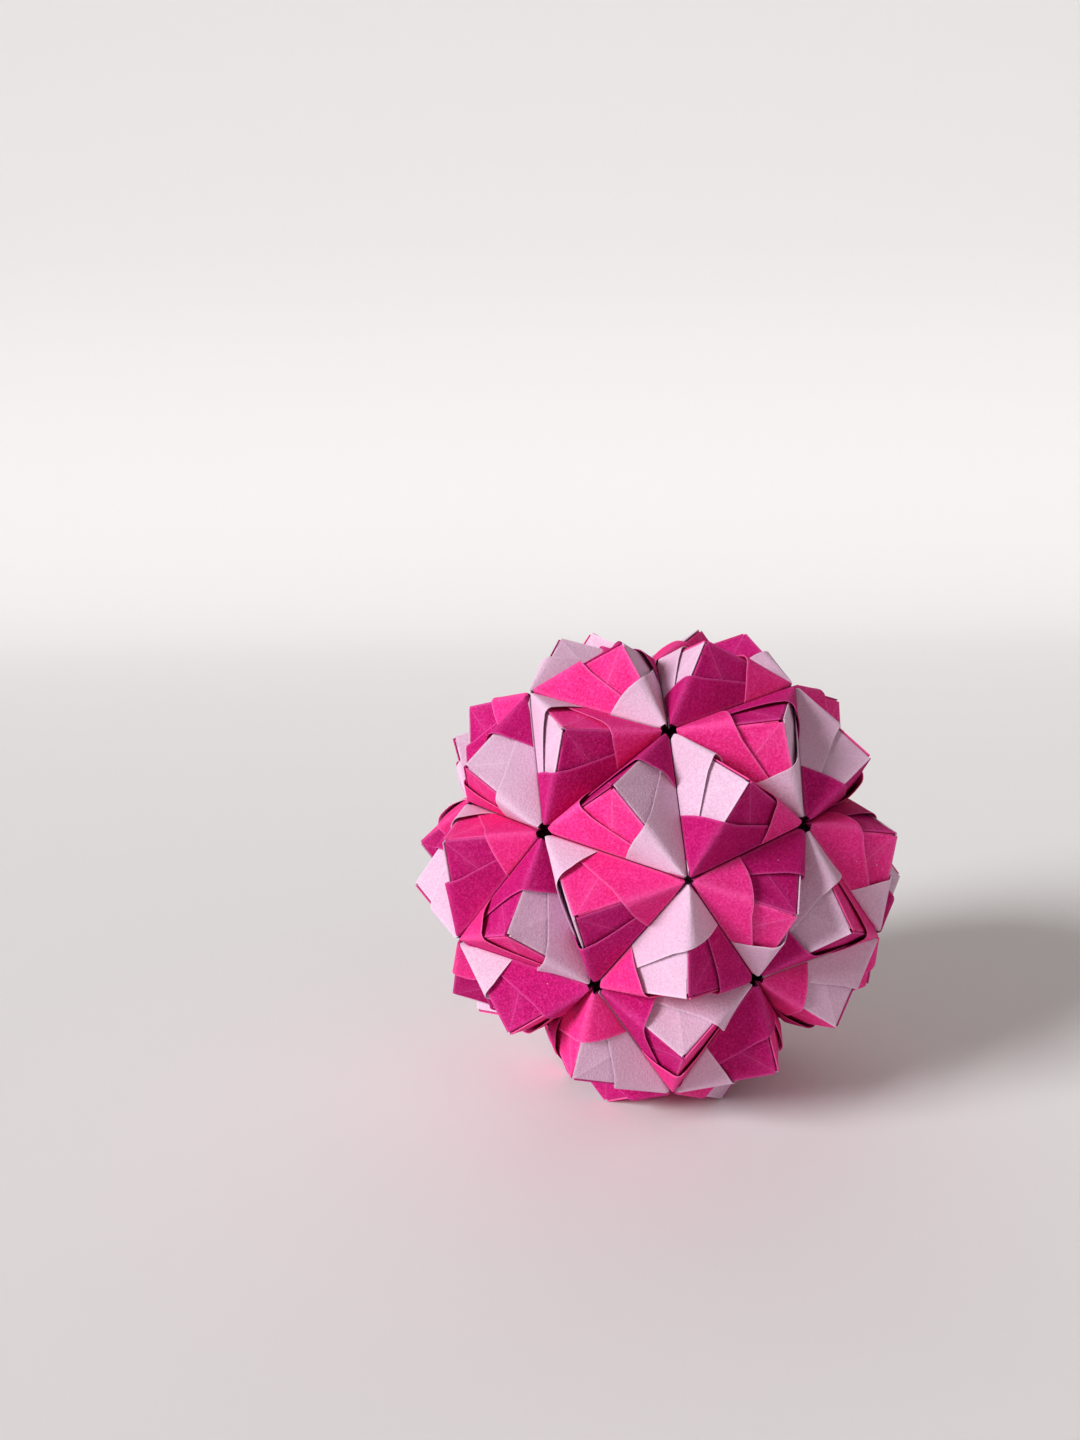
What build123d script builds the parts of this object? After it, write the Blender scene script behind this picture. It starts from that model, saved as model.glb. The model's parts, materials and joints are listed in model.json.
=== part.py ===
from build123d import *
import os
from itertools import combinations
from math import atan2, degrees, radians, sin, sqrt, tan

# A ball of ninety folded paper units. Each unit lies along one edge of a solid whose faces are sixty equal
# triangles, and three units raise a three-sided pyramid on every triangle. Millimetres, +Z up, with the
# front joint of five units towards -Y. The ball rests on the six pyramid tips round its lowest joint.

# Paper and folds
paper_side = 75.0       # edge of the square sheet that makes one unit
ply = 0.13              # thickness of the sheet
half_plies = 5          # layers pressed together in each half of a unit
tab_plies = 3           # layers in each tab
flap_plies = 2          # layers in the flap that makes the pocket
flap_angle = 22.5       # degrees between a flap's free edge and its fold
slack = 0.05            # room between one sheet and the next

# Joints, where the ends of five or six units meet
joint_gap = 0.4         # how far the end of a unit stops short of the joint's centre
five_way_hole = 1.2     # from the middle of a joint of five units to the side of its opening
six_way_hole = 1.8      # the same at a joint of six units

# Lengths that follow from the folds
valley_length = paper_side / 2
ridge_length = valley_length / sqrt(2)
edge_length = valley_length + 2 * joint_gap
pyramid_height = sqrt(ridge_length ** 2 - edge_length ** 2 / 3)
flap_slope = tan(radians(flap_angle))
flap_on_valley = valley_length * flap_slope
flap_on_ridge = sqrt(2) * valley_length * flap_slope / (1 + flap_slope)

joint_hole = {5: five_way_hole, 6: six_way_hole}

# Levels over a pyramid's face: a tab lies on the half below it, and the next unit's flap lies over both
half_thickness = half_plies * ply
flap_thickness = flap_plies * ply
tab_low = slack
tab_high = tab_low + tab_plies * ply
band_high = tab_high + flap_thickness
pocket_roof = band_high + slack
flap_top = pocket_roof + flap_thickness
tab_setback = flap_thickness + slack
uncut_side = 4 * edge_length    # side of a layer before it is cut, wider than any face

# Radii of the joints' centres, and the ring of five joints round each joint of five units
golden_ratio = (1 + sqrt(5)) / 2
ring_radius = edge_length / (2 * sin(radians(36)))
six_way_radius = edge_length * sqrt(3) * golden_ratio / 2
five_way_radius = sqrt(six_way_radius ** 2 - ring_radius ** 2) + sqrt(edge_length ** 2 - ring_radius ** 2)

# Colours of the paper, and the units whose colour is set, each by the two joints that it runs between
palette = ("magenta", "hot_pink", "pale_pink")
set_colours = {
    "magenta": ((4, 13), (0, 4), (3, 12), (12, 24), (7, 19),
                (1, 7), (24, 27), (19, 24), (19, 25), (6, 11)),
    "hot_pink": ((7, 13), (13, 24), (4, 12), (1, 4), (12, 18),
                 (7, 8), (24, 28), (16, 19), (3, 11), (11, 23)),
    "pale_pink": ((12, 13), (13, 19), (4, 7), (3, 4), (11, 12),
                  (7, 16), (18, 24), (19, 28), (3, 6), (11, 15)),
}


def place_joints():
    """The joints' centres and units, from the top joint down, and at each height round from the front."""
    five_way, six_way = [], [(a, b, c) for a in (1, -1) for b in (1, -1) for c in (1, -1)]
    for a in (1, -1):
        for b in (1, -1):
            five_way += [(a, 0, b * golden_ratio), (b * golden_ratio, a, 0), (0, b * golden_ratio, a)]
            near, far = a / golden_ratio, b * golden_ratio
            six_way += [(0, near, far), (far, 0, near), (near, far, 0)]
    up, back = Vector(1, 1, 1), Vector(1, 0, golden_ratio)
    stand = Plane(origin=(0, 0, 0), x_dir=back.cross(up), z_dir=up)
    placed = []
    for directions, radius, count in ((five_way, five_way_radius, 5), (six_way, six_way_radius, 6)):
        placed += [(stand.to_local_coords(Vector(*d)).normalized() * radius, count) for d in directions]
    return sorted(placed, key=lambda j: (-round(j[0].Z / edge_length, 2), round_from_front(j[0])))


def round_from_front(point):
    """Degrees anticlockwise from the front, as seen from above."""
    return round(degrees(atan2(point.X, -point.Y)), 1) % 360


joints = place_joints()
centre = [point for point, ways in joints]
ways = [count for point, count in joints]


def is_edge(a, b):
    """Whether a unit runs between two joints, which are then an edge's length apart."""
    return round((centre[a] - centre[b]).length / edge_length, 2) == 1


units = [pair for pair in combinations(range(len(joints)), 2) if is_edge(*pair)]
triangles = [t for t in combinations(range(len(joints)), 3) if all(is_edge(*p) for p in combinations(t, 2))]


def third_joints(a, b):
    """The joints of the two triangles on a unit, first the one on the left of the way from a to b."""
    beside = [c for t in triangles if a in t and b in t for c in t if c not in (a, b)]
    return sorted(beside, key=lambda c: -centre[a].cross(centre[b]).dot(centre[c]))


def three_point_plane(a, b, c):
    """The plane of three points that run anticlockwise as seen from the side its normal points to."""
    return Plane(origin=a, x_dir=b - a, z_dir=(b - a).cross(c - a))


def layer(face, low, high, limits):
    """A flat layer between two levels over a face, cut off by planes whose normals point away from it."""
    sheet = face * Pos(0, 0, (low + high) / 2) * Box(uncut_side, uncut_side, high - low)
    for limit in limits:
        sheet = split(sheet, bisect_by=limit, keep=Keep.BOTTOM)
    return sheet


def wing(a, b, c):
    """The part of the unit from joint a to joint b that lies in the pyramid on the joints a, b and c.

    The joints run anticlockwise as seen from outside. The half lies on the face over a and b, the tab goes
    round the ridge at b onto the face over b and c, and the flap lies over the tab and wraps the same ridge.
    """
    x, y, z = centre[a], centre[b], centre[c]
    base = three_point_plane(x, y, z)
    middle = (x + y + z) / 3
    tip = middle + base.z_dir * pyramid_height
    sides = ((x, y), (y, z), (z, x))
    own_face, tab_face, last_face = (three_point_plane(p, q, tip) for p, q in sides)
    fold_wall, tab_wall, last_wall = (three_point_plane(Vector(0, 0, 0), q, p) for p, q in sides)
    inside = [wall.offset(-slack / 2) for wall in (tab_wall, last_wall)]

    def opening(joint):
        outward = centre[joint] - middle
        axis = centre[joint].normalized()
        outward = (outward - axis * outward.dot(axis)).normalized()
        return Plane(origin=centre[joint] - outward * joint_hole[ways[joint]], z_dir=outward)

    ridge_point = y + (tip - y).normalized() * flap_on_ridge
    valley_point = y + (x - y).normalized() * flap_on_valley
    free_edge = three_point_plane(ridge_point, valley_point, z)
    if (y - ridge_point).dot(free_edge.z_dir) > 0:
        free_edge = Plane(origin=free_edge.origin, z_dir=-free_edge.z_dir)
    tab_edges = [tab_wall.offset(-tab_setback), last_face.offset(tab_high - slack), opening(b), opening(c)]
    over_face = Plane(origin=own_face.origin, z_dir=-own_face.z_dir)

    half = layer(own_face, -half_thickness, 0,
                 [fold_wall, tab_face.offset(tab_high), last_face.offset(-half_thickness - slack),
                  opening(a), opening(b)] + inside)
    tab = layer(tab_face, tab_low, tab_high, [own_face] + tab_edges + inside)
    band = layer(tab_face, tab_high, band_high,
                 [own_face.offset(flap_top), free_edge, fold_wall] + tab_edges + inside)
    corner = layer(own_face, pocket_roof, flap_top,
                   [fold_wall, tab_face.offset(band_high), free_edge, opening(b)] + inside)
    pocket_side = layer(fold_wall, -flap_thickness, 0,
                        [over_face, own_face.offset(flap_top), tab_face.offset(band_high), free_edge,
                         opening(b)] + inside)
    return half + tab + band + corner + pocket_side


def fold_unit(a, b):
    """A whole unit: its two wings, which meet in the valley fold between its joints."""
    left, right = third_joints(a, b)
    return wing(a, b, left) + wing(b, a, right)


def unit_frame(a, b):
    """A frame at the ball's centre, turned along a unit's valley fold from its joint of fewer units."""
    if ways[b] < ways[a]:
        a, b = b, a
    return Plane(origin=(0, 0, 0), x_dir=centre[b] - centre[a], z_dir=centre[a] + centre[b])


def touching(unit):
    """The four units that share a pyramid with a unit."""
    beside = [t for t in triangles if set(unit) <= set(t)]
    return [pair for t in beside for pair in combinations(t, 2) if pair != unit]


def paint(colours):
    """Colour every unit, keeping the colours given, so that the three units of each pyramid differ."""
    bare = [unit for unit in units if unit not in colours]
    if not bare:
        return colours
    choices = {unit: set(palette) - {colours.get(n) for n in neighbours[unit]} for unit in bare}
    unit = min(bare, key=lambda u: len(choices[u]))
    for colour in sorted(choices[unit]):
        painted = paint({**colours, unit: colour})
        if painted:
            return painted
    return None


neighbours = {unit: touching(unit) for unit in units}
colours = paint({unit: colour for colour, pairs in set_colours.items() for unit in pairs})

# Units differ only in how far their valley opens, with the ways of the joints at their ends. One of each
# kind is folded, and turned to the place of every unit of its kind.
patterns = {}
folded = {}
for a, b in units:
    kind = ways[a] + ways[b]
    if kind not in patterns:
        patterns[kind] = unit_frame(a, b).location.inverse() * fold_unit(a, b)
    folded[a, b] = unit_frame(a, b).location * patterns[kind]

# The first third of each colour's sheets have a node each, and the others share nodes by twos
rest_height = -min(sheet.bounding_box().min.Z for sheet in folded.values())
os.makedirs("parts", exist_ok=True)
for colour in palette:
    sheets = [Pos(0, 0, rest_height) * folded[unit] for unit in units if colours[unit] == colour]
    alone = len(sheets) // 3
    nodes = [sheets[i:i + 1] for i in range(alone)]
    nodes += [sheets[i:i + 2] for i in range(alone, len(sheets), 2)]
    for number, members in enumerate(nodes, 1):
        export_step(Compound(children=members), f"parts/{colour}_unit_{number:02d}.step")
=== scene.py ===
"""A kusudama ball of ninety folded paper units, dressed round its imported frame.

Each unit is one square sheet. It is modelled flat, with its folds, flaps and edges cut as lines of the mesh,
and then folded into its own place on the ball, a little differently each time, as by hand.
"""

import json
import logging
import math
import random
from dataclasses import dataclass, field
from enum import Enum
from itertools import combinations
from typing import Callable, Iterator, NamedTuple

import bmesh
import bpy
import numpy as np
from mathutils import Euler, Matrix, Vector


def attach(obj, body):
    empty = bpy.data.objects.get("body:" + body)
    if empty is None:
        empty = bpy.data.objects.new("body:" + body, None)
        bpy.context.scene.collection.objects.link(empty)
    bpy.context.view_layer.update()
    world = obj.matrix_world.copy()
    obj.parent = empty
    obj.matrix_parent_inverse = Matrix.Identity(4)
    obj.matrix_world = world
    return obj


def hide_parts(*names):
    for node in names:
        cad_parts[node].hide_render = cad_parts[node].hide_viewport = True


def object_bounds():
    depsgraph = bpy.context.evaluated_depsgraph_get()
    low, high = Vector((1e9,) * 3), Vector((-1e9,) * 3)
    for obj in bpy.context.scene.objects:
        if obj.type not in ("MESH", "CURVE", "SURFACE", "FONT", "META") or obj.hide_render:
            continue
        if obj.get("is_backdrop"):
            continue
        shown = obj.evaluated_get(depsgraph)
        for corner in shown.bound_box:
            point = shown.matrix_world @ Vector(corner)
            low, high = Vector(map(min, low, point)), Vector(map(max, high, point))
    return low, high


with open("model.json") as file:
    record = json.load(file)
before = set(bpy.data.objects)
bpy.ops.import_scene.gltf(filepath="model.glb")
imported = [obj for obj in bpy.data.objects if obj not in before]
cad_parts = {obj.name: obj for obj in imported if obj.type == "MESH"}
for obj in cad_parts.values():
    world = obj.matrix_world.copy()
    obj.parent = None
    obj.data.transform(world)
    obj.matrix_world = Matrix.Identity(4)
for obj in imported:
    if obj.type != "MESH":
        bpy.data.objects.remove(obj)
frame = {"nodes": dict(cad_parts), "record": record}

log = logging.getLogger("paper_ball")

Array = np.ndarray
Piece = bpy.types.Object
Socket = bpy.types.NodeSocket
Test = Callable[[Vector], bool]
Unit = tuple[int, int]
Mark = tuple[float, float]
Rows = tuple[float, ...]
Three = tuple[float, float, float]
Colour = Three
Inputs = dict[str | int, Socket | float | Rows]

MM = 0.001
ON_THE_LINE = 1e-7  # a point of the flat sheet that is this near to a line lies on it
SAME_CORNER = 1e-6  # two corners of a solid that are this close are one

# Directions on the flat sheet, where the near tab's fold runs along X and the valley fold along Y
ALONG_TAB = Vector((1, 0, 0))
ALONG_VALLEY = Vector((0, 1, 0))
ALONG_RIDGE = Vector((1, 1, 0)).normalized()
ACROSS_RIDGE = Vector((1, -1, 0)).normalized()


class PaperColour(Enum):
    """The three papers, each named as its material slot."""

    MAGENTA = "magenta"
    HOT_PINK = "hot_pink"
    PALE_PINK = "pale_pink"


class Layer(Enum):
    """The layers of a unit that show."""

    STRIP = 0
    FLAP = 1
    FAR_FLAP = 2


@dataclass(frozen=True)
class PaperSize:
    """The sheet of one unit, its folds and how worn its free edges are, in metres."""

    side: float = 75 * MM
    ply: float = 0.13 * MM
    tab_plies: int = 3
    flap_plies: int = 2
    slack: float = 0.05 * MM
    flap_angle: float = math.radians(22.5)
    tab_reach: float = 0.38 * MM
    worn_width: float = 0.25 * MM
    worn_depth: float = 0.06 * MM
    worn_share: float = 0.45

    @property
    def valley(self) -> float:
        """Length of the valley fold, which is also the length of each tab's fold."""
        return self.side / 2

    @property
    def flap_slope(self) -> float:
        """Slope of a flap's free edge against its fold."""
        return math.tan(self.flap_angle)

    @property
    def tab_thick(self) -> float:
        """Thickness of a tab."""
        return self.tab_plies * self.ply

    @property
    def flap_thick(self) -> float:
        """Thickness of a flap."""
        return self.flap_plies * self.ply

    @property
    def tab_level(self) -> float:
        """Height of a tab's outer side over the face below it."""
        return self.slack + self.tab_thick

    @property
    def band_level(self) -> float:
        """Height of the flap's outer side where it lies on its own tab."""
        return self.tab_level + self.flap_thick

    @property
    def corner_level(self) -> float:
        """Height of the flap's outer side where it covers the next unit's tab and flap."""
        return self.band_level + self.slack + self.flap_thick

    def worn(self, flat: Array, is_strip: Array | bool) -> Array:
        """How far each point of the flat sheet is worn down, from one on its free edges to nothing."""
        x, y = flat.T
        tab_edge = (self.valley - x - y) / math.sqrt(2) + self.tab_reach
        flap_edge = (self.flap_slope * (self.valley - x) - y) * math.cos(self.flap_angle)
        inside = np.where(is_strip & (x > y), tab_edge, np.where(is_strip, self.valley, flap_edge))
        return np.clip(1 - inside / self.worn_width, 0, 1)

    def thickness(self, flat: Array, is_strip: Array) -> Array:
        """Thickness at each point, as a share of a tab's, rounded so that many points have the same."""
        whole = np.where(is_strip, 1, self.flap_thick / self.tab_thick)
        return np.round(whole * (1 - self.worn_share * self.worn(flat, is_strip)), 3)


class Ramp(NamedTuple):
    """How a value that runs from low to high sets how much of a colour is blended in, from first to last."""

    low: float
    high: float
    first: float
    last: float


class NodeDesk:
    """The nodes of a material or a world."""

    def __init__(self, owner: bpy.types.Material | bpy.types.World) -> None:
        """Give the owner its nodes."""
        owner.use_nodes = True
        self.nodes = owner.node_tree.nodes
        self.links = owner.node_tree.links

    def feed(self, node: bpy.types.Node, inputs: Inputs) -> None:
        """Link inputs of a node to other nodes' outputs, or set them to plain values."""
        for name, value in inputs.items():
            if isinstance(value, Socket):
                self.links.new(value, node.inputs[name])
            else:
                node.inputs[name].default_value = value

    def add(self, kind: str, inputs: Inputs) -> bpy.types.Node:
        """Add a node of a kind, and feed it."""
        node = self.nodes.new(f"ShaderNode{kind}")
        self.feed(node, inputs)
        return node


class PaperDesk(NodeDesk):
    """The nodes of one paper's material, which all read the piece's object coordinates."""

    noise_roughness = 0.6

    def __init__(self, material: bpy.types.Material) -> None:
        """Give the material its nodes, and the coordinates that they read."""
        super().__init__(material)
        self.place = self.add("TexCoord", {}).outputs["Object"]

    def noise(self, size: float, detail: float, squeeze: Three = (1, 1, 1)) -> Socket:
        """Add a noise.

        Args:
            size: the size of its spots.
            detail: how many finer noises lie on it.
            squeeze: by how much the noise's own coordinates are multiplied along each axis.

        Returns:
            The noise's value.
        """
        squeezed = self.add("Mapping", {"Vector": self.place, "Scale": squeeze}).outputs["Vector"]
        sizes = {"Scale": 1 / size, "Detail": detail, "Roughness": self.noise_roughness}
        return self.add("TexNoise", {"Vector": squeezed, **sizes}).outputs["Fac"]

    def attribute(self, name: str) -> Socket:
        """Read a number that the mesh carries at its points."""
        node = self.add("Attribute", {})
        node.attribute_name = name
        return node.outputs["Fac"]

    def spots(self, spacing: float) -> Socket:
        """How far each place lies from the nearest of some scattered spots, in parts of their spacing."""
        return self.add("TexVoronoi", {"Vector": self.place, "Scale": 1 / spacing}).outputs["Distance"]

    def blend(self, value: Socket, ramp: Ramp, below: Socket | Rows, above: Colour) -> Socket:
        """Blend one colour over another.

        Args:
            value: what says where the colour lies.
            ramp: how much of it there is at each value.
            below: the colour that it lies over.
            above: the colour that is blended in.

        Returns:
            The blended colour.
        """
        limits = dict(zip(("From Min", "From Max", "To Min", "To Max"), ramp))
        share = self.add("MapRange", {"Value": value, **limits}).outputs["Result"]
        mixed = self.add("Mix", {})
        mixed.data_type = "RGBA"
        first, second = (i for i, socket in enumerate(mixed.inputs) if socket.type == "RGBA")
        self.feed(mixed, {"Factor": share, first: below, second: (*above, 1)})
        return next(socket for socket in mixed.outputs if socket.type == "RGBA")


@dataclass(frozen=True)
class PaperFinish:
    """One paper: matt, dyed through, with a felt-like grain, paler rubbed folds and painted shadow in the
    valley cracks.
    """

    colour: PaperColour
    tint: Colour
    rubbed: Colour
    deep: Colour
    roughness: float = 0.8
    shine: float = 0.06
    grain_size: float = 0.52 * MM
    grain_depth: float = 0.20 * MM
    grain_detail: float = 3
    grain_hollows: Ramp = Ramp(0.40, 0.57, 0.75, 0)
    grain_heights: Ramp = Ramp(0.54, 0.68, 0, 0.12)
    fibre_size: float = 1.1 * MM
    fibre_detail: float = 3
    fibre_squeeze: Three = (1, 0.22, 1)
    fibre_share: Ramp = Ramp(0.58, 0.78, 0, 0.30)
    cloud_size: float = 9 * MM
    cloud_detail: float = 2
    cloud_share: Ramp = Ramp(0.3, 0.7, 0, 0.3)
    shade_share: Ramp = Ramp(0, 1, 0, 0.35)
    rubbed_share: Ramp = Ramp(0, 1, 0, 0.45)
    # how much painted shadow is blended in, from the piece's shadow mark
    shadow_share: Ramp = Ramp(0, 1, 0, 0.95)
    shadow_tint: float = 0.1
    speck_spacing: float = 7 * MM
    speck_radius: float = 0.16 * MM
    speck_core: float = 0.6
    speck_share: float = 0.8
    speck_colour: Colour = (0.95, 0.93, 0.94)

    def material(self) -> bpy.types.Material:
        """Build the paper's material.

        Returns:
            A material whose grain follows the piece's object coordinates.
        """
        paper = bpy.data.materials.new(f"{self.colour.value}_paper")
        desk = PaperDesk(paper)
        grain = desk.noise(self.grain_size, self.grain_detail)
        fibres = desk.noise(self.fibre_size, self.fibre_detail, self.fibre_squeeze)
        cloud = desk.noise(self.cloud_size, self.cloud_detail)
        radius = self.speck_radius / self.speck_spacing
        specks = Ramp(radius * self.speck_core, radius, self.speck_share, 0)
        # the colour of the painted shadow: the deep tone, nearly black
        shadow = tuple(self.shadow_tint * part for part in self.deep)
        colour = (*self.tint, 1)
        for value, ramp, above in (
            (cloud, self.cloud_share, self.deep),
            (grain, self.grain_hollows, self.deep),
            (grain, self.grain_heights, self.rubbed),
            (fibres, self.fibre_share, self.rubbed),
            (desk.attribute("shade"), self.shade_share, self.deep),
            (desk.attribute("rubbed"), self.rubbed_share, self.rubbed),
            # painted shadow: the paper is darkened in the valley cracks, where shade falls
            (desk.attribute("shadow"), self.shadow_share, shadow),
            (desk.spots(self.speck_spacing), specks, self.speck_colour),
        ):
            colour = desk.blend(value, ramp, colour, above)
        relief = desk.add("Bump", {"Strength": 1.0, "Distance": self.grain_depth, "Height": grain})
        desk.feed(desk.nodes["Principled BSDF"], {
            "Base Color": colour,
            "Roughness": self.roughness,
            "Specular IOR Level": self.shine,
            "Normal": relief.outputs["Normal"],
        })
        return paper


FINISHES = (
    PaperFinish(PaperColour.MAGENTA, (0.64, 0.012, 0.205), (0.84, 0.13, 0.46), (0.34, 0.003, 0.085)),
    PaperFinish(PaperColour.HOT_PINK, (0.94, 0.048, 0.335), (0.97, 0.24, 0.57), (0.68, 0.012, 0.145)),
    PaperFinish(PaperColour.PALE_PINK, (0.78, 0.54, 0.71), (0.87, 0.70, 0.83), (0.67, 0.39, 0.55)),
)


def everywhere(_: Vector) -> bool:
    """A test that every face passes."""
    return True


class Bench:
    """Edit-mode work on one mesh, with faces and edges picked by their place."""

    def __init__(self, piece: Piece) -> None:
        """Remember the piece that is worked on."""
        self.piece = piece

    def __enter__(self) -> "Bench":
        """Open the piece for editing, alone."""
        only(self.piece)
        bpy.ops.object.mode_set(mode="EDIT")
        bpy.ops.mesh.select_mode(type="FACE")
        return self

    def __exit__(self, *error: object) -> None:
        """Close the piece."""
        bpy.ops.object.mode_set(mode="OBJECT")

    def pick(self, test: Test) -> None:
        """Select the faces whose middle passes a test."""
        bpy.ops.mesh.select_all(action="DESELECT")
        mesh = bmesh.from_edit_mesh(self.piece.data)
        for face in mesh.faces:
            face.select_set(test(face.calc_center_median()))
        mesh.select_flush_mode()
        bmesh.update_edit_mesh(self.piece.data)

    def pick_edges(self, test: Test) -> None:
        """Select the edges whose middle passes a test."""
        bpy.ops.mesh.select_mode(type="EDGE")
        bpy.ops.mesh.select_all(action="DESELECT")
        mesh = bmesh.from_edit_mesh(self.piece.data)
        for edge in mesh.edges:
            edge.select_set(test((edge.verts[0].co + edge.verts[1].co) / 2))
        bmesh.update_edit_mesh(self.piece.data)

    def cut(self, point: Vector, outward: Vector, where: Test = everywhere, trim: bool = False) -> None:
        """Cut the faces that pass a test along a line of the flat sheet.

        Args:
            point: a point on the line.
            outward: the line's normal in the sheet.
            where: says which faces are cut, by their middle.
            trim: whether what lies outside the line is removed.
        """
        self.pick(where)
        bpy.ops.mesh.bisect(
            plane_co=point, plane_no=outward, use_fill=False, clear_outer=trim, threshold=ON_THE_LINE)


def only(piece: Piece) -> None:
    """Select one object and make it the active one."""
    bpy.ops.object.select_all(action="DESELECT")
    piece.select_set(True)
    bpy.context.view_layer.objects.active = piece


def on_tab_side(at: Vector) -> bool:
    """Whether a face of the near half's strip lies on its tab, beyond the ridge."""
    return 0 < at.y < at.x


def millimetres(*lengths: float) -> Rows:
    """Lengths that are given in millimetres."""
    return tuple(length * MM for length in lengths)


def both_sides(rows: Rows) -> Iterator[float]:
    """The given distances, each on both sides of a line, with nought once."""
    for row in rows:
        yield row
        if row:
            yield -row


@dataclass
class FlatUnit:
    """One unit's strip and its two flaps, lying flat, with every fold and edge as a line of the mesh.

    The valley fold runs along +Y from the origin, and the near tab's fold along +X. The far half of the unit
    is the near half turned half round about the valley's middle. Openings are the distances from the joints'
    centres at which the paper stops: at the near end, at the far end and at the two tabs' points. Rows are
    how far the lines of the mesh lie from a fold or an edge. The strip's span and the place where a tab's
    point starts are in lengths of the valley.
    """

    size: PaperSize
    near_opening: float
    far_opening: float
    tab_opening: float
    strip_span: float = 2.2
    strip_cell: float = 3.2 * MM
    flap_cell: float = 1.5 * MM
    ridge_rows: Rows = millimetres(0, 0.22, 0.5, 1.0)
    roll_rows: Rows = millimetres(0, 0.5, 1.1, 1.9, 3.0)
    fold_rows: Rows = millimetres(0.35, 0.6, 0.85, 1.2, 1.8)
    edge_rows: Rows = millimetres(0.12, 0.25, 0.7)
    valley_rows: Rows = millimetres(-1.8, -1.2, -0.7, -0.3, 0, 0.3, 0.7, 1.2, 1.8)
    crease_rows: Rows = millimetres(-0.3, 0, 0.3)
    half_setback: float = 0.8 * MM
    hidden_setback: float = 2.3 * MM
    flap_setback: float = 0.15 * MM
    fold_reach: float = 2.5 * MM
    point_start: float = 0.8
    end_cells: int = 3

    def build(self, name: str) -> Piece:
        """Model the flat unit.

        Args:
            name: the name of the object.

        Returns:
            One mesh object with the strip and both flaps, each point marked with its layer.
        """
        strip = self.strip(name)
        near = self.flap(self.near_opening)
        far = self.flap(self.far_opening)
        only(far)
        bpy.ops.object.mode_set(mode="EDIT")
        bpy.ops.mesh.select_all(action="SELECT")
        middle = (0, self.size.valley / 2, 0)
        bpy.ops.transform.rotate(value=math.pi, orient_axis="Z", orient_type="GLOBAL", center_override=middle)
        bpy.ops.object.mode_set(mode="OBJECT")
        for layer, piece in ((Layer.STRIP, strip), (Layer.FLAP, near), (Layer.FAR_FLAP, far)):
            marks = piece.data.attributes.new("layer", "INT", "POINT")
            marks.data.foreach_set("value", [layer.value] * len(piece.data.vertices))
        only(strip)
        near.select_set(True)
        far.select_set(True)
        bpy.ops.object.join()
        return strip

    def strip(self, name: str) -> Piece:
        """Model the strip: two halves that meet in the valley, and the tab beyond each ridge."""
        valley = self.size.valley
        far_end = Vector((0, valley, 0))
        tip = Vector((valley / 2, valley / 2, 0))
        span = self.strip_span * valley
        cells = 2 * round(span / self.strip_cell / 2)
        piece = self.grid(name, span, cells, Vector((0, valley / 2, 0)))
        with Bench(piece) as bench:

            def cut(point: Vector, outward: Vector, where: Test = everywhere, trim: bool = False) -> None:
                """Cut the near half, and the far half alike."""
                bench.cut(point, outward, where, trim)
                bench.cut(far_end - point, -outward, lambda at: where(far_end - at), trim)

            for row in self.valley_rows:
                bench.cut(ALONG_TAB * row, ALONG_TAB)
            cut(ALONG_VALLEY * self.hidden_setback, -ALONG_VALLEY, trim=True)
            cut(tip + ALONG_RIDGE * self.size.tab_reach, ALONG_RIDGE, trim=True)
            for row in both_sides(self.ridge_rows):
                cut(ACROSS_RIDGE * row, ACROSS_RIDGE, lambda at: at.x > 0)
            cut(tip - ALONG_RIDGE * self.half_setback, ALONG_RIDGE, lambda at: 0 < at.x < at.y, trim=True)
            for row in self.crease_rows:
                cut(ALONG_TAB * (valley / 2 + row), ALONG_TAB, on_tab_side)
            for row in self.edge_rows:
                cut(tip + ALONG_RIDGE * (self.size.tab_reach - row), ALONG_RIDGE, on_tab_side)
            point_start = self.point_start * valley
            cut(ALONG_TAB * (valley - self.tab_opening), ALONG_TAB, lambda at: at.x > point_start, trim=True)
            reach = self.end_cells * self.strip_cell
            bench.cut(ALONG_RIDGE * self.near_opening, -ALONG_RIDGE, lambda at: at.length < reach, trim=True)
            bench.cut(far_end - ALONG_RIDGE * self.far_opening, ALONG_RIDGE,
                      lambda at: (at - far_end).length < reach, trim=True)
        return piece

    def flap(self, opening: float) -> Piece:
        """Model a flap: from the tab's fold and the valley to its slanted free edge."""
        valley = self.size.valley
        cells = round(valley / self.flap_cell)
        piece = self.grid("flap", valley, cells, Vector((valley / 2, valley / 2, 0)))
        tab_point = ALONG_TAB * valley
        outward = Vector((self.size.flap_slope, 1, 0)).normalized()
        with Bench(piece) as bench:
            bench.cut(tab_point, outward, trim=True)
            for row in self.edge_rows:
                bench.cut(tab_point - outward * row, outward)
            for row in both_sides(self.roll_rows):
                bench.cut(ACROSS_RIDGE * row, ACROSS_RIDGE)
            for row in self.fold_rows:
                bench.cut(ALONG_TAB * row, ALONG_TAB, lambda at: at.x < self.fold_reach)
                bench.cut(ALONG_VALLEY * row, ALONG_VALLEY, lambda at: at.y < self.fold_reach)
            for inward in (ALONG_TAB, ALONG_VALLEY):
                bench.cut(inward * self.flap_setback, -inward, trim=True)
            bench.cut(ALONG_RIDGE * opening, -ALONG_RIDGE, trim=True)
            bench.cut(ALONG_TAB * (valley - self.tab_opening), ALONG_TAB, trim=True)
        return piece

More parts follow.
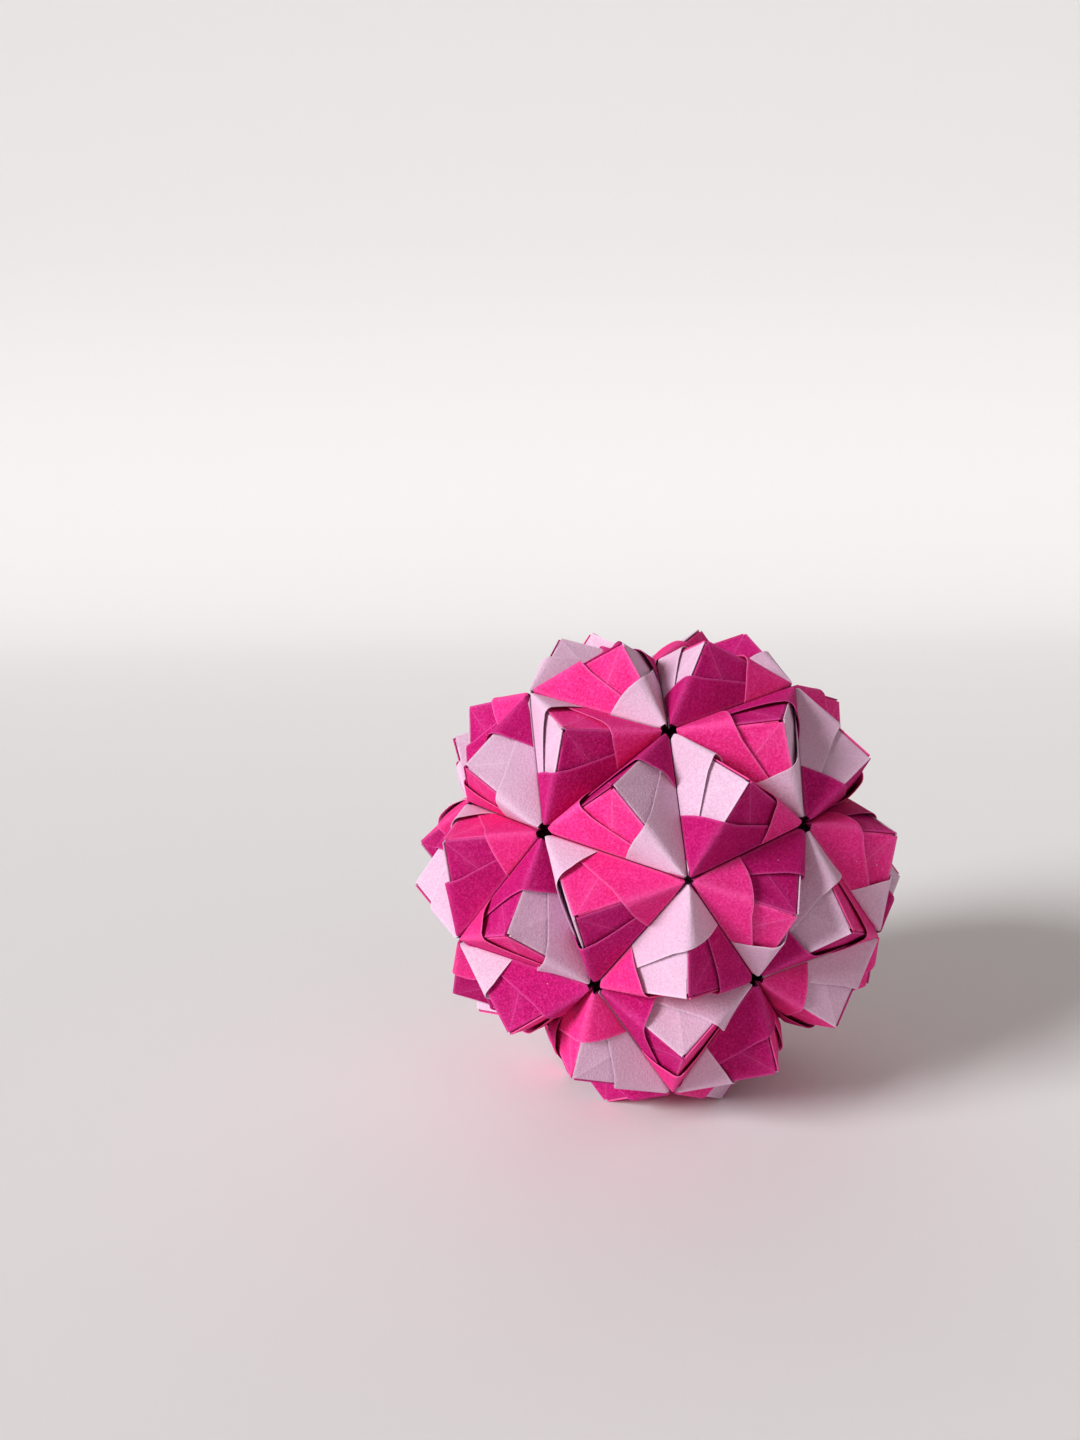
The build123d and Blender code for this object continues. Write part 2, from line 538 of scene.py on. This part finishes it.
    def grid(self, name: str, span: float, cells: int, middle: Vector) -> Piece:
        """Add a square grid to be cut to shape."""
        bpy.ops.object.select_all(action="DESELECT")
        bpy.ops.mesh.primitive_grid_add(
            x_subdivisions=cells, y_subdivisions=cells, size=span, location=middle)
        piece = bpy.context.active_object
        bpy.ops.object.transform_apply(location=True, rotation=False, scale=False)
        piece.name = name
        return piece


# How far each joint in the photograph lies from its true place, in millimetres
SETTLED_JOINTS = {
    0: (0.4, -0.5, 0.6), 1: (0.6, 0.7, -0.5), 3: (-0.7, 0.7, -1.0), 4: (-0.6, -0.6, 1.0),
    7: (-0.1, -1.4, 0.9), 8: (0.3, -0.2, -0.4), 11: (-0.3, -0.7, 0.4), 12: (0.1, 0.1, 0.0),
    13: (0.6, 0.5, -0.3), 16: (-0.4, 0.7, -1.2), 18: (0.6, -0.1, 0.1), 19: (-0.4, 1.0, 0.3),
    24: (-0.3, 0.3, -0.3),
}


@dataclass(frozen=True)
class Joint:
    """Where the ends of five or six units meet."""

    place: Array
    ways: int


@dataclass
class BallLattice:
    """The joints of the ball and its pyramids, from the frame's box and the folded sheet's sizes."""

    size: PaperSize
    middle: Array
    joint_gap: float = 0.4 * MM
    hidden_slip: float = 0.5 * MM
    resting_joints: int = 7
    seed: int = 11
    joints: list[Joint] = field(default_factory=list)
    units: list[Unit] = field(default_factory=list)
    pyramids: list[tuple[int, int, int]] = field(default_factory=list)

    def __post_init__(self) -> None:
        """Place the joints, from the top down, and find what runs between them."""
        self.joints = sorted(self.true_joints(), key=self.order)
        count = range(len(self.joints))
        self.units = [pair for pair in combinations(count, 2) if self.joined(*pair)]
        for three in combinations(count, 3):
            if all(self.joined(*pair) for pair in combinations(three, 2)):
                a, b, c = three
                self.pyramids.append(three if self.turns_left(a, b, c) else (a, c, b))
        self.settle()

    def true_joints(self) -> Iterator[Joint]:
        """Find the joints of a perfect ball: five-way on an icosahedron, six-way on a dodecahedron."""
        golden = (1 + math.sqrt(5)) / 2
        ring = self.edge / (2 * math.sin(math.radians(36)))
        six_radius = self.edge * math.sqrt(3) * golden / 2
        five_radius = math.sqrt(six_radius ** 2 - ring ** 2) + math.sqrt(self.edge ** 2 - ring ** 2)
        signs = (1, -1)
        five, six = [], [(a, b, c) for a in signs for b in signs for c in signs]
        for a in signs:
            for b in signs:
                low, high = a / golden, b * golden
                five += [(a, 0, high), (high, a, 0), (0, high, a)]
                six += [(0, low, high), (high, 0, low), (low, high, 0)]
        up = Vector((1, 1, 1)).normalized()
        back = Vector((1, 0, golden))
        right = back.cross(up).normalized()
        stand = np.array([right, up.cross(right), up])
        for directions, radius, ways in ((five, five_radius, 5), (six, six_radius, 6)):
            for direction in directions:
                turned = stand @ np.array(direction, float)
                yield Joint(self.middle + radius * turned / np.linalg.norm(turned), ways)

    def settle(self) -> None:
        """Move each joint a little off its true place, as the ball's weight and the folder's hands did.

        The lowest joints stay, so that the ball still rests on its tips.
        """
        chance = random.Random(self.seed)
        for number, joint in enumerate(self.joints[:-self.resting_joints]):
            drawn = [chance.uniform(-1, 1) * self.hidden_slip for _ in range(3)]
            seen = SETTLED_JOINTS.get(number)
            slip = np.array(seen) * MM if seen else np.array(drawn)
            self.joints[number] = Joint(joint.place + slip, joint.ways)

    @property
    def edge(self) -> float:
        """Distance between the joints at a unit's ends."""
        return self.size.valley + 2 * self.joint_gap

    @property
    def height(self) -> float:
        """Height of a pyramid over the triangle of its joints."""
        return math.sqrt(self.size.valley ** 2 / 2 - self.edge ** 2 / 3)

    def order(self, joint: Joint) -> tuple[float, float]:
        """The key that sorts joints from the top down, and round from the front at each height."""
        x, y, z = joint.place - self.middle
        return -round(z / self.edge, 2), round(math.degrees(math.atan2(x, -y)), 1) % 360

    def joined(self, a: int, b: int) -> bool:
        """Whether a unit runs between two joints."""
        return round(float(np.linalg.norm(self.joints[a].place - self.joints[b].place)) / self.edge, 2) == 1

    def turns_left(self, a: int, b: int, c: int) -> bool:
        """Whether three joints run anticlockwise as seen from outside."""
        x, y, z = (self.joints[i].place - self.middle for i in (a, b, c))
        return float(np.dot(np.cross(x, y), z)) > 0

    def third(self, a: int, b: int) -> int:
        """The joint that makes an anticlockwise pyramid with joints a and b, in that order."""
        for three in self.pyramids:
            for turn in range(3):
                if (three[turn], three[(turn + 1) % 3]) == (a, b):
                    return three[(turn + 2) % 3]
        raise ValueError(f"no pyramid stands on joints {a} and {b}")

    def direction(self, unit: Unit) -> Array:
        """The way out from the ball's middle through a unit's valley."""
        near, far = (self.joints[i].place for i in unit)
        return unit_vector(near + far - 2 * self.middle)


@dataclass(frozen=True)
class HandFold:
    """How far one wing of a unit strays from a perfect fold, in metres."""

    roll: float
    mouth: float
    band: float
    crest: float
    bow: float
    spring: float
    slip: float
    gap: float
    end: float

    @classmethod
    def by_hand(cls, chance: random.Random) -> "HandFold":
        """Draw the small faults of one wing."""
        return cls(
            roll=chance.uniform(1.2, 3.4) * MM,
            mouth=(0.1 + 1.5 * chance.random() ** 3) * MM,
            band=chance.uniform(0.0, 0.35) * MM,
            crest=chance.uniform(0.0, 0.35) * MM,
            bow=chance.uniform(0.05, 0.35) * MM,
            spring=chance.uniform(0.0, 0.25) * MM,
            slip=chance.uniform(-0.012, 0.012),
            gap=(0.05 + 0.22 * chance.random() ** 2) * MM,
            end=chance.uniform(-0.25, 0.35) * MM,
        )


def unit_vector(vector: Array) -> Array:
    """A vector of length one, with the same direction."""
    return vector / np.linalg.norm(vector)


def lower_of(first: Array, second: Array, blend: float) -> Array:
    """The lower of two heights, with a rounded change from one to the other."""
    return (first + second - np.sqrt((first - second) ** 2 + blend ** 2)) / 2


def hump(distance: Array, width: float | Array, height: float = 1) -> Array:
    """A height on a line, which falls off smoothly to nothing over a width beside it."""
    return height * np.exp(-((distance / width) ** 2))


def lobe(angle: Array) -> Array:
    """One halfway through a quarter turn, falling off smoothly to nothing at its start and end."""
    return np.sin(np.clip(angle, 0, math.pi / 2) * 2) ** 1.5


class Slope:
    """One face of a pyramid, as it lies beside a ridge and over a valley."""

    def __init__(self, middle: Array, foot: Array, tip: Array,
                 valley: tuple[Array, Array], out: Array) -> None:
        """Work out how the face lies.

        Args:
            middle: the ball's middle.
            foot: the joint at the ridge's foot.
            tip: the pyramid's tip.
            valley: the two joints that the face stands on, anticlockwise round the pyramid.
            out: the one of them that isn't the ridge's foot.
        """
        start, end = valley
        ridge = unit_vector(tip - foot)
        self.normal = unit_vector(np.cross(end - start, tip - start))
        self.along = float((out - foot) @ ridge)
        side = (out - foot) - self.along * ridge
        self.spread = float(np.linalg.norm(side))
        self.side = side / self.spread
        wall = unit_vector(np.cross(start - middle, end - middle))
        up_slope = unit_vector(np.cross(self.normal, end - start))
        self.height = float((tip - foot) @ up_slope)
        self.rise = float(up_slope @ wall)
        self.lean = float(-self.normal @ wall)

    def wall_level(self, share: Array, gap: float) -> Array:
        """How high paper may stand over the face and still clear the middle of the valley by a gap."""
        return (share * self.height * self.rise - gap) / self.lean


class Wing:
    """The place of one wing: a half on the face over joints a and b, and its tab on the face over b and c."""

    soft_fold = 0.45 * MM
    end_reach = 3.0 * MM
    end_core = 0.1 * MM
    crease_width = 0.28 * MM
    crease_height = 0.06 * MM
    spring_start = 0.72
    roll_power = 1.5
    puff_power = 1.2
    half_blend = 0.35 * MM
    tab_blend = 0.25 * MM
    tab_gap_share = 0.6
    valley_reach = 3 * MM

    def __init__(self, lattice: BallLattice, a: int, b: int, c: int) -> None:
        """Work out the two faces and the ridge between them.

        Args:
            lattice: the ball's joints.
            a: the joint at the far end of the valley.
            b: the joint at the ridge's foot.
            c: the joint at the tab's point.
        """
        self.size = lattice.size
        far, self.foot, point = (lattice.joints[i].place for i in (a, b, c))
        base = unit_vector(np.cross(self.foot - far, point - far))
        tip = (far + self.foot + point) / 3 + base * lattice.height
        self.ridge = unit_vector(tip - self.foot)
        self.ridge_length = float(np.linalg.norm(tip - self.foot))
        self.half_face = Slope(lattice.middle, self.foot, tip, (far, self.foot), far)
        self.tab_face = Slope(lattice.middle, self.foot, tip, (self.foot, point), point)

    def trimmed(self, flat: Array, hand: HandFold) -> Array:
        """Move the end at the ridge's foot a little in or out."""
        away = np.maximum(np.linalg.norm(flat, axis=1), self.end_core)
        return flat * (1 + hand.end * np.exp(-away / self.end_reach) / away)[:, None]

    def tip_share(self, flat: Array) -> Array:
        """How far up towards the pyramid's tip each point of a tab lies."""
        return np.clip(2 * flat[:, 1] / self.size.valley, 0, 1)

    def bubble(self, flat: Array) -> Array:
        """How much of its bow a tab has at each point: none on its sides, and all of it in the middle.

        The three shares add up to one, so their product is one part in 27 in the middle.
        """
        x, y = flat.T
        share_point = np.clip((x - y) / self.size.valley, 0, 1)
        share_tip = self.tip_share(flat)
        return 27 * share_point * share_tip * np.clip(1 - share_point - share_tip, 0, 1)

    def strip(self, flat: Array, hand: HandFold) -> Array:
        """Fold the strip's half and tab.

        Args:
            flat: points of the flat sheet.
            hand: the faults of this wing.

        Returns:
            The points' places on the ball.
        """
        length = self.size.valley
        flat = self.trimmed(flat, hand)
        x, y = flat.T
        crease = hump(x - length / 2, self.crease_width, self.crease_height)
        edge = np.clip((x + y) / length - self.spring_start, 0, 1) / (1 - self.spring_start)
        level = hand.bow * self.bubble(flat) + crease * (x > y)
        level += hand.spring * edge ** 2 * self.tip_share(flat)
        level -= self.size.worn_depth * self.size.worn(flat, True)
        on_tab = self.size.tab_level + level
        return self.place(flat, np.zeros(len(flat)), on_tab, np.full(len(flat), self.soft_fold))

    def flap(self, flat: Array, hand: HandFold) -> Array:
        """Fold a flap round the ridge, over its own tab and the next unit's.

        Args:
            flat: points of the flat sheet.
            hand: the faults of this wing.

        Returns:
            The points' places on the ball.
        """
        length, slope = self.size.valley, self.size.flap_slope
        flat = self.trimmed(flat, hand)
        x, y = flat.T
        out = (y + slope * x) / (slope * length)
        turn = np.arctan2(y, x)
        arch = np.sin(2 * turn)
        flat = flat * (1 + hand.slip * out ** 2 * arch)[:, None]
        radius = self.soft_fold + (hand.roll - self.soft_fold) * out ** self.roll_power
        half_angle = math.acos(float(self.half_face.normal @ self.tab_face.normal)) / 2
        puff = radius * (1 - math.cos(half_angle)) * np.clip(arch, 0, 1) ** self.puff_power
        puff += hand.crest * out ** 2 * arch ** 2
        puff -= self.size.worn_depth * self.size.worn(flat, False) ** 2
        gape = out ** 3
        mouth = hand.mouth * gape * lobe(2 * turn - math.pi / 2)
        band = hand.band * gape * lobe(2 * turn)
        on_half = self.size.corner_level + puff + mouth
        on_tab = self.size.band_level + puff + band + hand.bow * self.bubble(flat)
        up = 2 * flat.min(axis=1) / length
        half_wall = self.half_face.wall_level(up, hand.gap)
        tab_wall = self.tab_face.wall_level(up, self.tab_gap_share * hand.gap)
        on_half = lower_of(on_half, half_wall, self.half_blend)
        on_tab = lower_of(on_tab, tab_wall, self.tab_blend)
        return self.place(flat, on_half, on_tab, radius)

    def place(self, flat: Array, on_half: Array, on_tab: Array, radius: Array) -> Array:
        """Lay points of the flat sheet on the wing's two faces, with a round fold between them.

        Args:
            flat: points of the flat sheet.
            on_half: height over the half's face, for each point.
            on_tab: height over the tab's face, for each point.
            radius: outer radius of the fold, for each point.

        Returns:
            The points' places on the ball.
        """
        half, tab = self.half_face, self.tab_face
        x, y = flat.T
        apart = np.abs(x - y) / self.size.valley
        shared = np.minimum(x, y) / self.size.valley
        is_tab = x >= y
        between = float(half.normal @ tab.normal)
        lean = 1 - between ** 2
        first = (on_half - between * on_tab) / lean
        second = (on_tab - between * on_half) / lean
        raised = first[:, None] * half.normal + second[:, None] * tab.normal
        normal = np.where(is_tab[:, None], tab.normal, half.normal)
        side = np.where(is_tab[:, None], tab.side, half.side)
        shift = -(raised * side).sum(1)
        away = apart * np.where(is_tab, tab.spread, half.spread)
        along = apart * np.where(is_tab, tab.along, half.along) + 2 * shared * self.ridge_length
        near_ridge = away * (self.valley_reach + shift) / self.valley_reach
        reach = np.where(away < self.valley_reach, near_ridge, away + shift)
        crest = self.foot + along[:, None] * self.ridge + raised
        half_angle = math.acos(between) / 2
        bisector = unit_vector(half.normal + tab.normal)
        sideways = (normal - math.cos(half_angle) * bisector) / math.sin(half_angle)
        tangent = radius * math.tan(half_angle)
        bend = np.minimum(reach / tangent, 1) * half_angle
        turned = np.cos(bend)[:, None] * bisector + np.sin(bend)[:, None] * sideways
        rounded = crest + radius[:, None] * (turned - bisector / math.cos(half_angle))
        plane = crest + reach[:, None] * side
        return np.where((reach < tangent)[:, None], rounded, plane)


@dataclass(frozen=True)
class SheetMarks:
    """Where a folded sheet is rubbed pale and where painted shadow darkens it, by the place of its points
    when flat.

    A mark's first number is its width, in metres, and its second is how strong it is on its line.
    """

    size: PaperSize
    strip_ridge: Mark = (0.45 * MM, 0.55)
    strip_edge: Mark = (0.25 * MM, 1)
    strip_rim: Mark = (0.5 * MM, 1)
    crease: Mark = (0.25 * MM, 0.6)
    flap_edge: Mark = (0.3 * MM, 1)
    flap_ridge: Mark = (0.9 * MM, 0.35)
    flap_fold: Mark = (0.35 * MM, 0.5)
    flap_fold_place: float = 0.9 * MM
    flap_shadow: Mark = (0.4 * MM, 0.9)
    open_crack: float = 0.45 * MM
    covered_crack: float = 0.85 * MM
    cover_change: float = 2 * MM

    def rubbed(self, flat: Array, is_strip: Array) -> Array:
        """How far the paper is rubbed pale at each point: along folds, creases and cut edges."""
        length, slope = self.size.valley, self.size.flap_slope
        x, y = flat.T
        from_ridge = np.abs(x - y) / math.sqrt(2)
        from_edge = (length - x - y) / math.sqrt(2)
        from_free = (slope * (length - x) - y) / math.hypot(slope, 1)
        from_fold = np.minimum(x, y)
        rim = hump(np.minimum(from_edge, 0), *self.strip_rim)
        edge = hump(np.maximum(from_edge, 0), *self.strip_edge)
        crease = hump(x - length / 2, *self.crease) * (x > y)
        strip = np.maximum.reduce((hump(from_ridge, *self.strip_ridge), rim * edge, crease))
        flap = np.maximum.reduce((
            hump(from_free, *self.flap_edge),
            hump(from_ridge, *self.flap_ridge),
            hump(from_fold - self.flap_fold_place, *self.flap_fold),
        ))
        return np.where(is_strip, strip, flap)

    def shadow(self, flat: Array, is_strip: Array) -> Array:
        """How much painted shadow each point gets, most where it lies deep in a valley's crack: the flaps
        leave only a crack near the joints.
        """
        x, y = flat.T
        from_end = np.minimum(y, self.size.valley - y)
        covered = np.clip((self.size.valley * self.size.flap_slope - from_end) / self.cover_change, 0, 1)
        strip = hump(x, self.open_crack + self.covered_crack * covered)
        # painted shadow on the flap's wall where it turns down into the valley
        flap = hump(np.minimum(x, y), *self.flap_shadow)
        return np.where(is_strip, strip, flap)


@dataclass
class PaperBall:
    """The whole ball: ninety folded units, each in the place of its solid in the frame."""

    size: PaperSize
    five_way_opening: float = 0.85 * MM
    six_way_opening: float = 2.1 * MM
    smooth_angle: float = math.radians(35)
    seed: int = 5
    lattice: BallLattice = field(init=False)
    marks: SheetMarks = field(init=False)
    papers: dict[PaperColour, bpy.types.Material] = field(init=False)
    patterns: dict[int, Piece] = field(init=False)

    def build(self) -> None:
        """Fold every unit, dress it and set it in the frame."""
        low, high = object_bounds()
        self.lattice = BallLattice(self.size, np.array((low + high) / 2))
        self.marks = SheetMarks(self.size)
        self.papers = {finish.colour: finish.material() for finish in FINISHES}
        self.patterns = {ways: self.pattern(ways) for ways in (5, 6)}
        slots = {part["node"]: part["material_slot"] for part in frame["record"]["subparts"]}
        for node, unit, number in self.places():
            colour = PaperColour(slots[node])
            piece = self.fold(unit, f"{node}_sheet_{number}", colour)
            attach(piece, "root")
            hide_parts(node)
            log.info("%s runs between joints %d and %d", piece.name, *unit)
        for pattern in self.patterns.values():
            bpy.data.objects.remove(pattern)

    def pattern(self, near_ways: int) -> Piece:
        """Model the flat unit whose near end is at a joint of five or of six units."""
        openings = {5: self.five_way_opening, 6: self.six_way_opening}
        third_ways = 6 if near_ways == 5 else 5
        flat = FlatUnit(self.size, openings[near_ways], self.six_way_opening, openings[third_ways])
        return flat.build(f"flat_unit_{near_ways}")

    def places(self) -> Iterator[tuple[str, Unit, int]]:
        """Find the unit of each solid in the frame, by the way that the solid faces.

        Yields:
            The node's name, the unit's two joints and the solid's number in its node.
        """
        ways = np.array([self.lattice.direction(unit) for unit in self.lattice.units])
        for node in sorted(frame["nodes"]):
            mesh = bmesh.new()
            mesh.from_mesh(frame["nodes"][node].data)
            bmesh.ops.remove_doubles(mesh, verts=mesh.verts, dist=SAME_CORNER)
            for number, solid in enumerate(self.solids(mesh), 1):
                way = unit_vector(np.mean(solid, axis=0) - self.lattice.middle)
                yield node, self.lattice.units[int(np.argmax(ways @ way))], number
            mesh.free()

    @staticmethod
    def solids(mesh: bmesh.types.BMesh) -> Iterator[list[Vector]]:
        """Split a mesh into its separate solids, in the order of their first corners.

        Yields:
            The corners of each solid.
        """
        left = dict.fromkeys(mesh.verts)
        while left:
            first = next(iter(left))
            del left[first]
            grown = [first]
            for corner in grown:
                for edge in corner.link_edges:
                    other = edge.other_vert(corner)
                    if other in left:
                        del left[other]
                        grown.append(other)
            yield [corner.co.copy() for corner in grown]

    def fold(self, unit: Unit, name: str, colour: PaperColour) -> Piece:
        """Copy the flat unit and fold it into its place.

        Args:
            unit: the two joints that the unit runs between.
            name: the name of the piece.
            colour: its paper.

        Returns:
            The finished piece.
        """
        near, far = sorted(unit, key=lambda joint: self.lattice.joints[joint].ways)
        pattern = self.patterns[self.lattice.joints[near].ways]
        piece = pattern.copy()
        piece.data = pattern.data.copy()
        piece.name = piece.data.name = name
        bpy.context.scene.collection.objects.link(piece)
        chance = random.Random(self.seed * 10000 + near * 100 + far)
        hands = {True: HandFold.by_hand(chance), False: HandFold.by_hand(chance)}
        shade = chance.random()
        self.bend(piece, near, far, hands)
        self.mark(piece, "shade", np.full(len(piece.data.vertices), shade))
        self.thicken(piece)
        piece.data.materials.append(self.papers[colour])
        return piece

    def bend(self, piece: Piece, near: int, far: int, hands: dict[bool, HandFold]) -> None:
        """Move a piece's flat points to their folded places, and note its worn parts and where shadow is
        painted on it.

        Args:
            piece: the piece, still flat.
            near: the joint at the near end of its valley.
            far: the joint at the far end.
            hands: the faults of the near wing, under True, and of the far wing, under False.
        """
        mesh = piece.data
        flat = np.zeros(len(mesh.vertices) * 3, np.float32)
        mesh.vertices.foreach_get("co", flat)
        flat = flat.reshape(-1, 3)[:, :2].astype(float)
        layer = np.zeros(len(mesh.vertices), np.int32)
        mesh.attributes["layer"].data.foreach_get("value", layer)
        turned = np.array([0, self.size.valley]) - flat
        is_strip = layer == Layer.STRIP.value
        near_half = np.where(is_strip, flat[:, 0] > -ON_THE_LINE, layer == Layer.FLAP.value)
        wings = {
            True: Wing(self.lattice, far, near, self.lattice.third(far, near)),
            False: Wing(self.lattice, near, far, self.lattice.third(near, far)),
        }
        folded = np.zeros((len(flat), 3))
        for is_near, points in ((True, flat), (False, turned)):
            wing, hand = wings[is_near], hands[is_near]
            here = near_half == is_near
            for part, bent in ((is_strip & here, wing.strip), (~is_strip & here, wing.flap)):
                folded[part] = bent(points[part], hand)
        mesh.vertices.foreach_set("co", folded.astype(np.float32).ravel())
        mesh.update()
        own = np.where(near_half[:, None], flat, turned)
        self.mark(piece, "rubbed", self.marks.rubbed(own, is_strip))
        # painted shadow in the valley cracks, which the material darkens
        self.mark(piece, "shadow", self.marks.shadow(own, is_strip))
        thickness = self.size.thickness(own, is_strip)
        group = piece.vertex_groups.new(name="thickness")
        for share in np.unique(thickness):
            group.add([int(i) for i in np.flatnonzero(thickness == share)], float(share), "REPLACE")

    @staticmethod
    def mark(piece: Piece, name: str, values: Array) -> None:
        """Give each point of a piece a number that its material reads."""
        marks = piece.data.attributes.new(name, "FLOAT", "POINT")
        marks.data.foreach_set("value", values.astype(np.float32))

    def thicken(self, piece: Piece) -> None:
        """Give the folded sheet its thickness, thinner at its worn edges."""
        only(piece)
        paper = piece.modifiers.new("paper", "SOLIDIFY")
        paper.thickness = self.size.tab_thick
        paper.offset = -1
        paper.vertex_group = "thickness"
        bpy.ops.object.modifier_apply(modifier=paper.name)
        bpy.ops.object.shade_smooth_by_angle(angle=self.smooth_angle)
        piece.vertex_groups.clear()
        piece.data.attributes.remove(piece.data.attributes["layer"])


@dataclass(frozen=True)
class Lamp:
    """A distant soft lamp.

    Toward is the way from the ball to the lamp, spread is how wide the lamp looks from the ball, in degrees,
    and level is how bright a white sheet that faces it looks.
    """

    name: str
    toward: Three
    spread: float
    level: float
    colour: Colour


LAMPS = (
    Lamp("window", (-0.78, -0.46, 0.42), 22, 1.08, (0.98, 0.98, 1.0)),
    Lamp("fill", (0.6, -0.8, 0.5), 50, 0.05, (1.0, 0.96, 0.92)),
)


@dataclass
class Studio:
    """The pale floor, the soft lamps and the camera."""

    ball_middle: Vector
    floor_span: float = 6.0
    floor_colour: Colour = (0.86, 0.855, 0.85)
    floor_roughness: float = 0.9
    floor_shine: float = 0.1
    floor_smooth_angle: float = math.radians(30)
    sky_colour: Colour = (1.0, 0.89, 0.84)
    sky_strength: float = 0.25
    backdrop_colour: Colour = (0.80, 0.79, 0.78)
    sweep_start: float = 1.6
    sweep_radius: float = 0.9
    sweep_steps: int = 16
    wall_height: float = 3.0
    photo_height: int = 1440
    focal_pixels: float = 1104.0
    sensor_height: float = 36.0
    nearest_seen: float = 10 * MM
    camera_offset: Three = (-33.7 * MM, -300.9 * MM, 82.9 * MM)
    camera_turn: float = math.radians(0.42)
    camera_drop: float = math.radians(8.18)
    camera_roll: float = math.radians(-1.07)

    def build(self) -> None:
        """Set up everything that isn't part of the ball."""
        self.floor()
        self.world()
        for lamp in LAMPS:
            self.light(lamp)
        self.camera()
        bpy.context.scene.view_settings.view_transform = "Standard"

    def floor(self) -> None:
        """Lay the floor that the ball rests on, and sweep it up into a wall behind."""
        bpy.ops.object.select_all(action="DESELECT")
        bpy.ops.mesh.primitive_plane_add(size=self.floor_span)
        floor = bpy.context.active_object
        floor.name = "floor"
        turn = math.pi / 2 / self.sweep_steps
        half_span = self.floor_span / 2
        with Bench(floor) as bench:
            bench.pick_edges(lambda at: at.y > half_span / 2)
            bpy.ops.transform.translate(value=(0, self.sweep_start - half_span, 0))
            for step in range(self.sweep_steps):
                angle = (step + 0.5) * turn
                length = 2 * self.sweep_radius * math.sin(turn / 2)
                move = {"value": (0, length * math.cos(angle), length * math.sin(angle))}
                bpy.ops.mesh.extrude_region_move(TRANSFORM_OT_translate=move)
            bpy.ops.mesh.extrude_region_move(TRANSFORM_OT_translate={"value": (0, 0, self.wall_height)})
        bpy.ops.object.shade_smooth_by_angle(angle=self.floor_smooth_angle)
        finish = bpy.data.materials.new("floor")
        desk = NodeDesk(finish)
        desk.feed(desk.nodes["Principled BSDF"], {
            "Base Color": (*self.floor_colour, 1),
            "Roughness": self.floor_roughness,
            "Specular IOR Level": self.floor_shine,
        })
        floor.data.materials.append(finish)
        floor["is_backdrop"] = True

    def world(self) -> None:
        """Light the room evenly, and show a pale background where the floor and the wall end."""
        world = bpy.data.worlds.new("room")
        bpy.context.scene.world = world
        desk = NodeDesk(world)
        sky = desk.nodes["Background"]
        desk.feed(sky, {"Color": (*self.sky_colour, 1), "Strength": self.sky_strength})
        backdrop = desk.add("Background", {"Color": (*self.backdrop_colour, 1)})
        rays = desk.add("LightPath", {})
        seen = rays.outputs["Is Camera Ray"]
        for other in ("Is Glossy Ray", "Is Transmission Ray"):
            either = desk.add("Math", {0: seen, 1: rays.outputs[other]})
            either.operation = "MAXIMUM"
            seen = either.outputs["Value"]
        room = desk.add("MixShader", {
            0: seen,
            1: sky.outputs["Background"],
            2: backdrop.outputs["Background"],
        })
        desk.feed(desk.nodes["World Output"], {"Surface": room.outputs["Shader"]})

    def light(self, lamp: Lamp) -> None:
        """Hang one lamp, turned to the ball."""
        toward = Vector(lamp.toward)
        sun = bpy.data.lights.new(lamp.name, "SUN")
        sun.angle = math.radians(lamp.spread)
        sun.energy = math.pi * lamp.level
        sun.color = lamp.colour
        light = bpy.data.objects.new(lamp.name, sun)
        light.location = self.ball_middle + toward
        light.rotation_euler = (-toward).to_track_quat("-Z", "Y").to_euler()
        bpy.context.scene.collection.objects.link(light)

    def camera(self) -> None:
        """Set the camera where the photograph was taken from."""
        lens = bpy.data.cameras.new("camera")
        lens.sensor_fit = "VERTICAL"
        lens.sensor_height = self.sensor_height
        lens.lens = self.sensor_height * self.focal_pixels / self.photo_height
        lens.clip_start = self.nearest_seen
        camera = bpy.data.objects.new("camera", lens)
        camera.location = self.ball_middle + Vector(self.camera_offset)
        level = Euler((math.pi / 2 - self.camera_drop, 0, -self.camera_turn)).to_matrix()
        camera.rotation_euler = (level @ Matrix.Rotation(self.camera_roll, 3, "Z")).to_euler()
        bpy.context.scene.collection.objects.link(camera)
        bpy.context.scene.camera = camera


def main() -> None:
    """Build the ball, then the studio round it."""
    logging.basicConfig(level=logging.INFO, format="%(name)s: %(message)s")
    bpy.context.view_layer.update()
    ball = PaperBall(PaperSize())
    ball.build()
    log.info("folded %d units", len(ball.lattice.units))
    Studio(Vector(ball.lattice.middle)).build()


if __name__ == "__main__":
    main()
